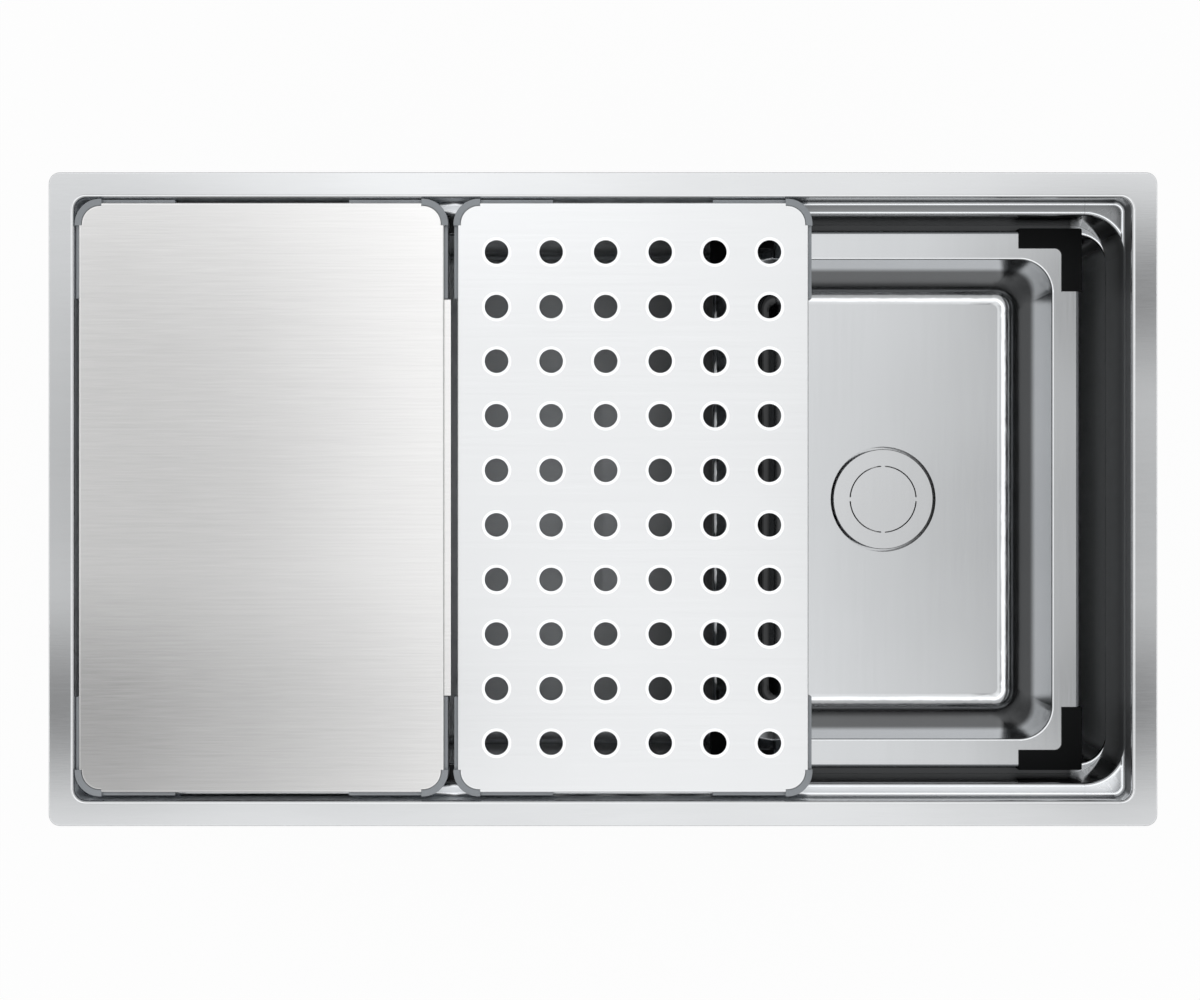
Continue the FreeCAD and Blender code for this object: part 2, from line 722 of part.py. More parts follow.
def make_drain_rings():
    where = (drain_centre_x, drain_centre_y)
    inner = drain_tube_radius + thread_clearance
    rubber_z = under_bowl_z - drain_rubber
    friction_z = rubber_z - drain_friction_ring
    nut_z = friction_z - drain_nut_height
    gasket = ring(drain_hole_radius, drain_flange_radius, drain_seat_z, main_flange_z, *where)
    save("main_drain_flange_gasket", gasket)
    save("main_drain_rubber_washer", ring(inner, drain_nut_radius, rubber_z, under_bowl_z, *where))
    save("main_drain_friction_ring", ring(inner, drain_nut_radius, friction_z, rubber_z, *where))
    nut = lugged_ring(inner, drain_nut_radius, nut_z, friction_z, drain_nut_lugs, *where)
    save("main_drain_backnut", nut)


def make_tail():
    where = (drain_centre_x, drain_centre_y)
    rim = drain_collar_radius - tail_flange_inset
    washer_z = main_collar_z - tail_washer
    flange_z = washer_z - tail_flange
    neck_z = flange_z - tail_neck_length
    bore = tail_radius - tail_wall
    tail = turned(
        [
            (bore, washer_z - tail_length),
            (tail_radius, washer_z - tail_length),
            (tail_radius, neck_z),
            (tail_neck_radius, neck_z),
            (tail_neck_radius, flange_z),
            (rim, flange_z),
            (rim, washer_z),
            (bore, washer_z),
        ],
        *where
    )
    nut_inner = drain_collar_radius + thread_clearance
    floor = flange_z - tail_nut_floor
    nut = turned(
        [
            (tail_neck_radius + thread_clearance, floor),
            (tail_nut_radius, floor),
            (tail_nut_radius, floor + tail_nut_height),
            (nut_inner, floor + tail_nut_height),
            (nut_inner, flange_z),
            (tail_neck_radius + thread_clearance, flange_z),
        ],
        *where
    )
    nut = with_lugs(nut, tail_nut_radius, floor, floor + tail_nut_height, small_nut_lugs, *where)
    save("tailpiece", tail)
    save("tailpiece_washer", ring(bore, rim, washer_z, main_collar_z, *where))
    save("tailpiece_nut", nut)


def make_basin_drain():
    flange_z = basin_well_z + basin_outlet_gasket
    wall = basin_outlet_wall
    inner = basin_outlet_radius - wall
    low_z = flange_z + wall - basin_outlet_length
    basket_top = flange_z
    seat_z = basket_top - basin_basket_depth - basket_seal
    outlet = turned(
        [
            (0, seat_z - wall),
            (inner, seat_z - wall),
            (inner, low_z),
            (basin_outlet_radius, low_z),
            (basin_outlet_radius, flange_z),
            (basin_outlet_flange_radius, flange_z),
            (basin_outlet_flange_radius, flange_z + wall),
            (inner, flange_z + wall),
            (inner, seat_z),
            (0, seat_z),
        ],
        basin_centre_x,
    )
    holes = seat_holes(basin_seat_hole_circle, basin_seat_hole_radius, seat_z, basin_centre_x, 0.0)
    outlet = outlet.cut(holes)
    save("basin_outlet", outlet)
    save(
        "basin_outlet_gasket",
        ring(basin_outlet_hole_radius, basin_outlet_flange_radius, basin_well_z, flange_z, basin_centre_x),
    )
    nut_top = basin_well_z - basin_sheet
    nut_low = nut_top - basin_outlet_nut_height
    bore = basin_outlet_radius + thread_clearance
    nut = lugged_ring(bore, basin_outlet_nut_radius, nut_low, nut_top, small_nut_lugs, basin_centre_x, 0.0)
    save("basin_outlet_nut", nut)
    make_basket("basin_strainer", basin_basket_radius, basin_basket_depth, basket_top, basin_centre_x, 0.0)
    stem_top = basket_top + basin_stem_above_basket
    save("basin_strainer_stem", strainer_stem(seat_z, stem_top, basin_centre_x, 0.0))
    seal = strainer_seal(basin_basket_radius - basin_seal_inset, seat_z, basin_centre_x, 0.0)
    save("basin_strainer_seal", seal)
    save("basin_drain_cover", basin_cover(flange_z + wall))


def basin_cover(rest_z):
    """Flat cover with a ring of four narrow slots, on four legs."""
    low = basin_floor_z - basin_cover_sheet
    cover = turned(
        [
            (0, low),
            (basin_cover_radius, low),
            (basin_cover_radius, basin_floor_z - basin_cover_edge),
            (basin_cover_radius - basin_cover_edge, basin_floor_z),
            (0, basin_floor_z),
        ],
        basin_centre_x,
    )
    half = basin_cover_slot_width / 2
    slots = ring(
        basin_cover_slot_radius - half,
        basin_cover_slot_radius + half,
        low - above,
        basin_floor_z + above,
        basin_centre_x,
    )
    bridge = box(
        basin_centre_x,
        basin_centre_x + basin_cover_radius,
        -basin_cover_bridge / 2,
        basin_cover_bridge / 2,
        low - above,
        basin_floor_z + above,
    )
    slots = slots.cut(round_copies(bridge, basin_cover_bridges, basin_centre_x, 0.0))
    leg = post(basin_cover_leg_radius, rest_z, low, basin_centre_x + basin_cover_leg_circle, 0.0)
    between = 180 / basin_cover_bridges
    legs = round_copies(leg, basin_cover_bridges, basin_centre_x, 0.0, between)
    return cover.cut(slots).fuse(legs).removeSplitter()


# ---- clamps and sound pads ----


def clamp_places():
    """Wall point and outward direction of every clamp."""
    places = []
    span_x = sink_length / 2 - clamp_end_margin
    span_y = sink_width / 2 - clamp_end_margin
    wall_x = middle_half_x + bowl_sheet
    wall_y = middle_half_y + bowl_sheet
    for side in (-1, 1):
        for number in range(clamps_per_front):
            x = -span_x + 2 * span_x * number / (clamps_per_front - 1)
            places.append((x, side * wall_y, 0, side))
        for number in range(clamps_per_side):
            y = -span_y + 2 * span_y * number / (clamps_per_side - 1)
            places.append((side * wall_x, y, side, 0))
    return places


def placed(shape, x, y, out_x, out_y):
    """Turns a shape drawn outward along +X, and moves it to a wall."""
    angle = math.degrees(math.atan2(out_y, out_x))
    shape.rotate(FreeCAD.Vector(0, 0, 0), FreeCAD.Vector(0, 0, 1), angle)
    shape.translate(FreeCAD.Vector(x, y, 0))
    return shape


def hexagon(radius, z_low, z_high, x):
    corners = []
    for number in range(6):
        angle = math.radians(60 * number)
        corners.append(FreeCAD.Vector(x + radius * math.cos(angle), radius * math.sin(angle), z_low))
    return Part.Face(Part.makePolygon(corners + corners[:1])).extrude(FreeCAD.Vector(0, 0, z_high - z_low))


def make_clamps():
    brackets, screws, nuts, shoes = [], [], [], []
    shoe_low = -worktop_thickness - clamp_shoe_height
    screw_top = shoe_low + clamp_shoe_socket
    screw_low = screw_top - clamp_screw_length
    leg_top = (screw_top + screw_low) / 2
    for x, y, out_x, out_y in clamp_places():
        rim_half = sink_length / 2 if out_x else sink_width / 2
        axis = rim_half - clamp_edge_margin - clamp_shoe_radius - abs(x if out_x else y)
        reach = axis + clamp_nut_radius + clamp_edge_margin
        half = clamp_width / 2
        bracket = box(0, reach, -half, half, leg_top - clamp_plate, leg_top)
        bracket = bracket.fuse(box(0, clamp_plate, -half, half, leg_top, leg_top + clamp_leg))
        bracket = bracket.cut(
            post(clamp_screw_radius + thread_clearance, leg_top - above, leg_top + above, axis, 0)
        )
        bracket = bracket.removeSplitter()
        screw = post(clamp_screw_radius, screw_low, screw_top, axis, 0)
        screw = screw.fuse(post(clamp_head_radius, screw_low - clamp_head_height, screw_low, axis, 0))
        slot_top = screw_low - clamp_head_height + clamp_slot_depth
        slot_half = clamp_slot_width / 2
        slot = box(axis - above, axis + above, -slot_half, slot_half, screw_low - above, slot_top)
        nut_top = leg_top - clamp_plate
        nut = hexagon(clamp_nut_radius, nut_top - clamp_nut_height, nut_top, axis)
        thread = clamp_screw_radius + thread_clearance / 2
        nut = nut.cut(post(thread, nut_top - above, nut_top + above, axis, 0))
        shoe = post(clamp_shoe_radius, shoe_low, shoe_low + clamp_shoe_height, axis, 0)
        shoe = shoe.cut(post(clamp_screw_radius + thread_clearance, shoe_low - above, screw_top, axis, 0))
        for pile, shape in ((brackets, bracket), (screws, screw.cut(slot)), (nuts, nut), (shoes, shoe)):
            pile.append(placed(shape, x, y, out_x, out_y))
    save("clamp_brackets", Part.makeCompound(brackets))
    save("clamp_screws", Part.makeCompound(screws))
    save("clamp_nuts", Part.makeCompound(nuts))
    save("clamp_shoes", Part.makeCompound(shoes))


def make_sound_pads():
    """Rubber sheets stuck under the floor and on the lower walls."""
    outer = bowl_space(bowl_sheet, 0.0)
    margin = sound_pad_margin
    low = floor_z - floor_fall - above
    reach_x = lower_half_x - margin
    reach_y = lower_half_y - margin
    gap = drain_seat_radius + sound_pad_drain_gap
    zones = {
        "sound_pad_floor_left": (0, -1, -reach_x, drain_centre_x - gap, -reach_y, reach_y, low, floor_z),
        "sound_pad_floor_right": (0, -1, drain_centre_x + gap, reach_x, -reach_y, reach_y, low, floor_z),
    }
    wall_low = floor_z + margin
    wall_high = lower_step_z - sound_pad_top_margin
    y = lower_half_y + bowl_sheet
    zones["sound_pad_front"] = (-1, 0, -reach_x, reach_x, -y - above, -y, wall_low, wall_high)
    zones["sound_pad_back"] = (1, 0, -reach_x, reach_x, y, y + above, wall_low, wall_high)
    for name, (along_y, along_z, *limits) in zones.items():
        layer = outer.copy()
        layer.translate(FreeCAD.Vector(0, along_y * sound_pad, along_z * sound_pad))
        save(name, layer.common(box(*limits)).cut(outer))


def main():
    os.makedirs(parts_folder, exist_ok=True)
    save("rim_plate", make_rim())
    make_bowl()
    save("solid_board_plate", make_solid_plate())
    save("perforated_board_plate", make_perforated_plate())
    boards = {
        "solid_board": (solid_board_width, solid_board_centre_x),
        "perforated_board": (perforated_board_width, perforated_board_centre_x),
    }
    corners = {"front_left": (-1, -1), "front_right": (1, -1), "back_left": (-1, 1), "back_right": (1, 1)}
    for corner, sides in corners.items():
        for board, size in boards.items():
            save(board + "_foot_" + corner, board_foot(*size, *sides))
        save("basin_pad_" + corner, basin_pad(*sides))
    save("basin_shell", make_basin())
    make_basin_drain()
    save("main_drain_body", make_drain_body())
    make_drain_rings()
    make_main_strainer()
    make_tail()
    make_clamps()
    make_sound_pads()


main()
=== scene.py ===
import json
import math

import bpy
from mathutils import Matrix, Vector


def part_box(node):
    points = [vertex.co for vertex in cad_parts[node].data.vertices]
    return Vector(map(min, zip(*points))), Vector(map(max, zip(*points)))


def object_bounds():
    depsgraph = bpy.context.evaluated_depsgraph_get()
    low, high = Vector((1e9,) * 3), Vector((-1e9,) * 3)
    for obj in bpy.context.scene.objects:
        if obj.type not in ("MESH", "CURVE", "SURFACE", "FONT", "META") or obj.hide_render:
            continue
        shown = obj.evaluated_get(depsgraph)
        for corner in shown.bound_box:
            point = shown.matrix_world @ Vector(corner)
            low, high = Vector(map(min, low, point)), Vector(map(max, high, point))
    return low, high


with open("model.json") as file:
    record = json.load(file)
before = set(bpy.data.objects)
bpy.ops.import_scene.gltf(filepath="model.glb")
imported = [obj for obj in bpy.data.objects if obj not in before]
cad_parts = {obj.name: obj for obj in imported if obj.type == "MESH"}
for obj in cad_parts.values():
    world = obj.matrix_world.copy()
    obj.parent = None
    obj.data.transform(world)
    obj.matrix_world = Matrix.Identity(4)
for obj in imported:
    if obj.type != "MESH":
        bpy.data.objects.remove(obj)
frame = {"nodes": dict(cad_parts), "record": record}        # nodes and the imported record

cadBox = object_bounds()
nodes = frame["nodes"]
scene = bpy.context.scene
print("frame loaded with", len(nodes), "pieces")


# camera: straight above the sink, as in the photograph

cameraSet = {
    "height": 1.5,              # above the top of the rim
    "pictureWidth": 1200,
    "pixelSize": 0.0007033,     # metres at the rim
    "sensor": 36.0,
    "middle": (-0.0021, -0.0006),
    "clip": (0.01, 50),
}


def makeCamera():
    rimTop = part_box("rim_plate")[1].z
    data = bpy.data.cameras.new("camera")
    data.sensor_width = cameraSet["sensor"]
    seen = cameraSet["pictureWidth"] * cameraSet["pixelSize"]
    data.lens = cameraSet["sensor"] * cameraSet["height"] / seen
    data.clip_start, data.clip_end = cameraSet["clip"]
    camera = bpy.data.objects.new("camera", data)
    camera.location = (*cameraSet["middle"], rimTop + cameraSet["height"])
    scene.collection.objects.link(camera)
    scene.camera = camera


makeCamera()
scene.view_settings.view_transform = "Standard"
print("camera placed")


# node helpers

def addNode(tree, kind, **settings):
    made = tree.nodes.new(kind)
    for name, value in settings.items():
        setattr(made, name, value)
    return made


def feed(tree, socket, value):
    # a socket takes a plain value or another node's output
    if isinstance(value, bpy.types.NodeSocket):
        tree.links.new(value, socket)
    else:
        socket.default_value = value


def mathOf(tree, operation, first, second=0.0):
    made = addNode(tree, "ShaderNodeMath", operation=operation)
    feed(tree, made.inputs[0], first)
    feed(tree, made.inputs[1], second)
    return made.outputs[0]


def times(tree, first, second):
    return mathOf(tree, "MULTIPLY", first, second)


def plus(tree, first, second):
    return mathOf(tree, "ADD", first, second)


def minus(tree, first, second):
    return mathOf(tree, "SUBTRACT", first, second)


def remap(tree, value, low, high, newLow, newHigh, smooth=False):
    kind = "SMOOTHSTEP" if smooth else "LINEAR"
    made = addNode(tree, "ShaderNodeMapRange", interpolation_type=kind)
    for socket, item in zip(made.inputs, (value, low, high, newLow, newHigh)):
        feed(tree, socket, item)
    return made.outputs[0]


def mixColours(tree, amount, first, second):
    made = addNode(tree, "ShaderNodeMix", data_type="RGBA")
    for place, item in ((0, amount), (6, first), (7, second)):
        feed(tree, made.inputs[place], item)
    return made.outputs[2]


def blend(tree, amount, first, second):
    made = addNode(tree, "ShaderNodeMix")
    for place, item in ((0, amount), (2, first), (3, second)):
        feed(tree, made.inputs[place], item)
    return made.outputs[0]


def toneRamp(tree, value, tones):
    ramp = addNode(tree, "ShaderNodeValToRGB")
    feed(tree, ramp.inputs[0], value)
    stops = ramp.color_ramp.elements
    for number, (place, tone) in enumerate(tones):
        # a new ramp has two stops already
        stop = stops[number] if number < 2 else stops.new(place)
        stop.position = place
        stop.color = grey(tone)
    return ramp.outputs[0]


def splitOf(tree, vector):
    made = addNode(tree, "ShaderNodeSeparateXYZ")
    feed(tree, made.inputs[0], vector)
    return made.outputs


def spotOf(tree):
    return splitOf(tree, addNode(tree, "ShaderNodeTexCoord").outputs["Object"])


def facingOf(tree):
    return splitOf(tree, addNode(tree, "ShaderNodeNewGeometry").outputs["Normal"])


def noise(tree, scales, scale, detail, roughness):
    # noise stretched by its own scale along each axis of the piece
    stretch = addNode(tree, "ShaderNodeMapping")
    feed(tree, stretch.inputs["Vector"], addNode(tree, "ShaderNodeTexCoord").outputs["Object"])
    stretch.inputs["Scale"].default_value = scales
    made = addNode(tree, "ShaderNodeTexNoise")
    feed(tree, made.inputs["Vector"], stretch.outputs[0])
    made.inputs["Scale"].default_value = scale
    made.inputs["Detail"].default_value = detail
    made.inputs["Roughness"].default_value = roughness
    return made.outputs["Fac"]


def grey(tone, warmth=0.0):
    return (tone * (1 + warmth), tone, tone * (1 - warmth), 1)


# studio: a wide softbox overhead with a dark surround, and cards that show in the rim

studio = {
    # height of a direction (1 is straight up) and how bright it is
    "tones": [
        (0.0, 0.85), (0.06, 0.75), (0.2, 0.5), (0.45, 0.4), (0.66, 0.55), (0.73, 0.95), (0.78, 1.3),
        (0.92, 1.3), (0.955, 1.0),
    ],
    # where a card shows overhead, its half size, and how much it takes away (a lamp adds)
    "cards": [
        (-0.226, 0.012, 0.174, 0.229, 0.4), (0.233, -0.01, 0.176, 0.224, 0.44),
        (-0.27, -0.1, 0.178, 0.063, 0.51), (0.247, -0.1, 0.081, 0.058, 0.42),
        (0.252, 0.102, 0.107, 0.06, 0.47), (-0.105, -0.102, 0.089, 0.069, 0.25),
        (-0.08, 0.212, 0.2, 0.155, -0.26),
    ],
    "lowestUp": 0.05,           # keeps the cards off the horizon
    "darkest": 0.05,
    "floorTone": 0.86,
    "floorGlow": 0.95,
    "floorSize": 6.0,
    "floorGap": 0.0005,         # under the lowest piece
}


def cardDepth(tree, across, along, card):
    u, v, halfU, halfV, depth = card
    offU = mathOf(tree, "DIVIDE", minus(tree, across, u), halfU)
    offV = mathOf(tree, "DIVIDE", minus(tree, along, v), halfV)
    squares = plus(tree, mathOf(tree, "POWER", offU, 2), mathOf(tree, "POWER", offV, 2))
    return remap(tree, mathOf(tree, "SQRT", squares), 0, 1, depth, 0, True)


def makeSky():
    world = bpy.data.worlds.new("studio")
    world.use_nodes = True
    scene.world = world
    tree = world.node_tree
    tree.nodes.clear()
    x, y, z = splitOf(tree, addNode(tree, "ShaderNodeTexCoord").outputs["Generated"])
    up = mathOf(tree, "MAXIMUM", z, studio["lowestUp"])
    across, along = mathOf(tree, "DIVIDE", x, up), mathOf(tree, "DIVIDE", y, up)
    level = toneRamp(tree, z, studio["tones"])
    for card in studio["cards"]:
        level = minus(tree, level, cardDepth(tree, across, along, card))
    sky = addNode(tree, "ShaderNodeBackground")
    feed(tree, sky.inputs["Strength"], mathOf(tree, "MAXIMUM", level, studio["darkest"]))
    plain = addNode(tree, "ShaderNodeBackground")
    sight = addNode(tree, "ShaderNodeMixShader")
    feed(tree, sight.inputs[0], addNode(tree, "ShaderNodeLightPath").outputs["Is Camera Ray"])
    for socket, shader in zip(sight.inputs[1:], (sky, plain)):
        shader.inputs["Color"].default_value = grey(1)
        feed(tree, socket, shader.outputs[0])
    feed(tree, addNode(tree, "ShaderNodeOutputWorld").inputs[0], sight.outputs[0])


def mixShaders(tree, amount, first, second):
    made = addNode(tree, "ShaderNodeMixShader")
    for socket, item in zip(made.inputs, (amount, first.outputs[0], second.outputs[0])):
        feed(tree, socket, item)
    return made


def makeFloor():
    size = studio["floorSize"]
    low = cadBox[0].z - studio["floorGap"]
    spots = [(x * size, y * size, low) for x, y in ((-1, -1), (1, -1), (1, 1), (-1, 1))]
    mesh = bpy.data.meshes.new("studioFloor")
    mesh.from_pydata(spots, [], [(0, 1, 2, 3)])
    floor = bpy.data.objects.new("studioFloor", mesh)
    scene.collection.objects.link(floor)
    paint = bpy.data.materials.new("studioFloor")
    paint.use_nodes = True
    tree = paint.node_tree
    tree.nodes.clear()
    matt = addNode(tree, "ShaderNodeBsdfDiffuse")
    matt.inputs["Color"].default_value = grey(studio["floorTone"])
    glow = addNode(tree, "ShaderNodeEmission")
    seen = addNode(tree, "ShaderNodeLightPath").outputs["Is Camera Ray"]
    sight = mixShaders(tree, times(tree, seen, studio["floorGlow"]), matt, glow)
    # seen from below, the floor is left out
    below = addNode(tree, "ShaderNodeNewGeometry").outputs["Backfacing"]
    under = mixShaders(tree, below, sight, addNode(tree, "ShaderNodeBsdfTransparent"))
    feed(tree, addNode(tree, "ShaderNodeOutputMaterial").inputs[0], under.outputs[0])
    mesh.materials.append(paint)


makeSky()
makeFloor()
print("studio built")


# surfaces

texture = {
    "span": (0.3, 0.7),             # most of a noise lies between these
    "wideSpan": (0.25, 0.75),
    "grain": (1.0, 3.0, 0.6),       # scale, detail, roughness
    "streak": (1.0, 4.0, 0.6),
    "cloud": (2.0, 0.5),            # detail, roughness
    "fine": (3.0, 0.6),
    "even": (1, 1, 1),
    "streakShare": 0.5,
    "fineShare": 0.4,
    "bevelSamples": 4,
    "threadPitch": 0.0008,
    "diamondPitch": 0.014,
    "diamondSpan": (0.15, 0.4, 0, 1),
}


def newFinish(name):
    made = bpy.data.materials.new(name)
    made.use_nodes = True
    tree = made.node_tree
    return made, tree, tree.nodes["Principled BSDF"]


def setBump(tree, shader, height, look):
    # surface grain over edges that are softened by a small radius
    soft = addNode(tree, "ShaderNodeBevel", samples=texture["bevelSamples"])
    soft.inputs["Radius"].default_value = look["edge"]
    bump = addNode(tree, "ShaderNodeBump")
    bump.inputs["Distance"].default_value = look["groove"]
    feed(tree, bump.inputs["Height"], look["relief"](tree) if "relief" in look else height)
    feed(tree, bump.inputs["Normal"], soft.outputs[0])
    feed(tree, shader.inputs["Normal"], bump.outputs[0])


def inwardMask(tree):
    # 1 where a face looks at the middle of the bowl, 0 on its outside
    spot, facing = spotOf(tree), facingOf(tree)
    reach = plus(tree, times(tree, spot[0], facing[0]), times(tree, spot[1], facing[1]))
    return mathOf(tree, "LESS_THAN", reach, 0.0)


def wave(tree, value, pitch):
    turns = times(tree, value, 2 * math.pi / pitch)
    return remap(tree, mathOf(tree, "SINE", turns), -1, 1, 0, 1)


def threads(tree):
    return wave(tree, spotOf(tree)[2], texture["threadPitch"])


def diamonds(tree):
    # raised diamonds, the same on sheets that lie and on sheets that stand
    x, y, z = spotOf(tree)
    across = plus(tree, y, z)
    first = wave(tree, plus(tree, x, across), texture["diamondPitch"])
    second = wave(tree, minus(tree, x, across), texture["diamondPitch"])
    return remap(tree, times(tree, first, second), *texture["diamondSpan"], True)


def brushedSteel(name, look):
    made, tree, shader = newFinish(name)
    shader.inputs["Metallic"].default_value = 1.0
    share = texture["streakShare"]
    grain = noise(tree, look["grain"], *texture["grain"])
    streak = noise(tree, look["streak"], *texture["streak"])
    cloud = noise(tree, texture["even"], look["cloud"], *texture["cloud"])
    mixed = plus(tree, times(tree, streak, share), times(tree, grain, 1 - share))
    level = remap(tree, mixed, *texture["span"], look["dark"], look["light"])
    level = times(tree, level, remap(tree, cloud, *texture["span"], 1 - look["stain"], 1.0))
    rough = remap(tree, grain, *texture["wideSpan"], *look["roughness"])
    # the zones paint light and shade into the base colour and scale the roughness
    if "zones" in look:
        paintedLight, zoneRough = look["zones"](tree)
        level, rough = times(tree, level, paintedLight), times(tree, rough, zoneRough)
    tint = addNode(tree, "ShaderNodeVectorMath", operation="SCALE")
    tint.inputs[0].default_value = grey(1.0, look["warmth"])[:3]
    feed(tree, tint.inputs["Scale"], level)
    feed(tree, shader.inputs["Base Color"], tint.outputs[0])
    feed(tree, shader.inputs["Roughness"], rough)
    setBump(tree, shader, grain, look)
    return made


def mouldedFinish(name, look):
    # plastic, rubber and fibre: a fine moulded grain under a faint change of tone
    made, tree, shader = newFinish(name)
    share = texture["fineShare"]
    fine = noise(tree, texture["even"], look["scale"], *texture["fine"])
    cloud = noise(tree, texture["even"], look["cloud"], *texture["cloud"])
    mixed = plus(tree, times(tree, fine, share), times(tree, cloud, 1 - share))
    amount = remap(tree, mixed, *texture["span"], 0, 1)
    feed(tree, shader.inputs["Base Color"], mixColours(tree, amount, look["dark"], look["light"]))
    feed(tree, shader.inputs["Roughness"], remap(tree, fine, *texture["span"], *look["roughness"]))
    shader.inputs["Specular IOR Level"].default_value = look["shine"]
    setBump(tree, shader, fine, look)
    return made


# bowl: painted highlights on the rolled edges, painted dark reflections on the polished walls inside,
# painted light and shade on the satin steps and floor
# each span below gives two places along a value, and what it becomes at each

# painted light and shade for the bowl, by place, with roughness factors
bowlPaintedLightAndRough = {
    # edge: painted highlight on rolled edges and rounded faces
    "edge": 1.3,
    "railZ": -0.019, "upperStepZ": -0.04, "lowerStepZ": -0.15,
    "toBack": (0.0, 0.15, 0, 1),
    "toRight": (-0.04, 0.14, 0, 1),
    "upperStep": (0, 1, 1.3, 0.42),
    "lowerStep": (0.345, 0.352, 0.14, 1.3),
    "floor": (-0.04, 0.07, 1.35, 0.5),
    "underBoards": (0.13, 0.15, 1, 0),
    "flat": (0.95, 0.995, 0, 1),
    "notWall": (0.3, 0.8, 0, 1),
    "wall": (0.3, 0.8, 1, 0),
    "sideUp": (-0.15, -0.02, 0.12, 0.25),
    "sideFoot": (-0.2, -0.155, 1.0, 0),
    "farLeft": (-0.1, 0.0, 1, 0),
    "farLeftTone": 0.8,
    "endFacing": (0.75, 0.95, 0, 1),
    "rightEnd": (-0.1, -0.03, 1.35, 0.22),
    "outside": 0.9,
    "polish": (0.5, 0.97, 0.4, 1.0),
    "deepRough": (-0.205, -0.16, 2.2, 1.0),
    "endRough": 2.6, "besideRough": 2.4, "outsideRough": 1.5,
}


def bowlZones(tree):
    tones = bowlPaintedLightAndRough
    x, y, z = spotOf(tree)
    facing = facingOf(tree)
    up = facing[2]

    # painted light on the upper step, with painted shade at its back right corner
    corner = times(tree, remap(tree, y, *tones["toBack"], True), remap(tree, x, *tones["toRight"], True))
    upperStep = remap(tree, corner, *tones["upperStep"])
    # painted shade on the lower step, with a painted highlight at its right end
    lowerStep = remap(tree, x, *tones["lowerStep"])
    level = blend(tree, mathOf(tree, "GREATER_THAN", z, tones["upperStepZ"]), lowerStep, upperStep)
    overFloor = mathOf(tree, "GREATER_THAN", z, tones["lowerStepZ"])
    # painted light on the floor at the left, fading to painted shade at the right
    level = blend(tree, overFloor, remap(tree, x, *tones["floor"]), level)

    end = remap(tree, mathOf(tree, "ABSOLUTE", facing[0]), *tones["endFacing"], True)
    rail = mathOf(tree, "GREATER_THAN", z, tones["railZ"])
    beside = times(tree, rail, remap(tree, x, *tones["underBoards"]))
    # painted dark reflection on the walls inside, with a painted highlight at their foot and a lighter
    # tone towards the far left
    side = plus(tree, remap(tree, z, *tones["sideUp"]), remap(tree, z, *tones["sideFoot"]))
    side = blend(tree, remap(tree, x, *tones["farLeft"], True), side, tones["farLeftTone"])
    atRight = mathOf(tree, "GREATER_THAN", x, 0.0)
    # painted highlight on the left end walls; the right end wall has painted shade high up over a painted
    # highlight lower down
    endLevel = blend(tree, atRight, tones["edge"], remap(tree, z, *tones["rightEnd"]))
    # walls near the rail under the boards take the painted edge highlight
    inside = blend(tree, beside, blend(tree, end, side, endLevel), tones["edge"])
    wall = blend(tree, inwardMask(tree), tones["outside"], inside)
    # painted highlight on sloped and rounded faces; flat faces keep the step and floor tones
    level = blend(tree, remap(tree, up, *tones["flat"]), tones["edge"], level)
    level = blend(tree, remap(tree, up, *tones["notWall"]), wall, level)

    polish = times(tree, remap(tree, up, *tones["polish"]), remap(tree, z, *tones["deepRough"]))
    rough = blend(tree, end, polish, tones["endRough"])
    besideWall = times(tree, beside, remap(tree, up, *tones["wall"]))
    rough = blend(tree, besideWall, rough, tones["besideRough"])
    return level, blend(tree, inwardMask(tree), tones["outsideRough"], rough)


# basin: satin rim and floor, a painted highlight on the rolled floor edge, painted shade on the walls that
# darkens towards the floor, and a painted shadow under the board

basinPaintedLightAndRough = {
    "bandRise": 0.01,               # the painted shade band reaches higher on the front and back walls
    "wall": (-0.1, -0.088, 0.05, 0.68),
    "notWall": (0.3, 0.75, 0, 1),
    "edge": 1.3,
    "flat": (0.93, 0.995, 0, 1),
    "floorZ": -0.12,
    "paintedBoardShadow": (0.132, 0.156, 0.05, 1.0),
    "wallRough": (0.5, 0.97, 1.7, 1.0),
    "underBoardRough": (0.128, 0.155, 0.3, 1.0),
}


def basinZones(tree):
    tones = basinPaintedLightAndRough
    spot, facing = spotOf(tree), facingOf(tree)
    x, z, up = spot[0], spot[2], facing[2]
    rise = times(tree, mathOf(tree, "ABSOLUTE", facing[1]), tones["bandRise"])
    # painted shade on the walls, darker towards the floor
    wall = remap(tree, minus(tree, z, rise), *tones["wall"], True)
    # painted highlight on the rolled edges
    level = blend(tree, remap(tree, up, *tones["notWall"]), wall, tones["edge"])
    level = blend(tree, remap(tree, up, *tones["flat"]), level, 1.0)
    # painted shadow on the floor's left edge, under the board
    onFloor = mathOf(tree, "LESS_THAN", z, tones["floorZ"])
    shade = blend(tree, onFloor, 1.0, remap(tree, x, *tones["paintedBoardShadow"], True))
    rough = times(tree, remap(tree, up, *tones["wallRough"]), remap(tree, x, *tones["underBoardRough"]))
    return times(tree, level, shade), rough


# solid board: painted shade, a little darker towards its near left corner, and painted light, a little
# lighter towards the right

boardPaintedShading = {
    "near": (-0.2, -0.05, 1, 0),
    "left": (-0.34, -0.12, 1, 0.3),
    "corner": (0, 1, 1, 0.68),
    "across": (-0.25, -0.12, 1, 1.1),
}


def boardZones(tree):
    spot = spotOf(tree)
    low = times(tree, remap(tree, spot[1], *boardPaintedShading["near"]), remap(tree, spot[0], *boardPaintedShading["left"]))
    across = remap(tree, spot[0], *boardPaintedShading["across"])
    return times(tree, remap(tree, low, *boardPaintedShading["corner"]), across), 1.0


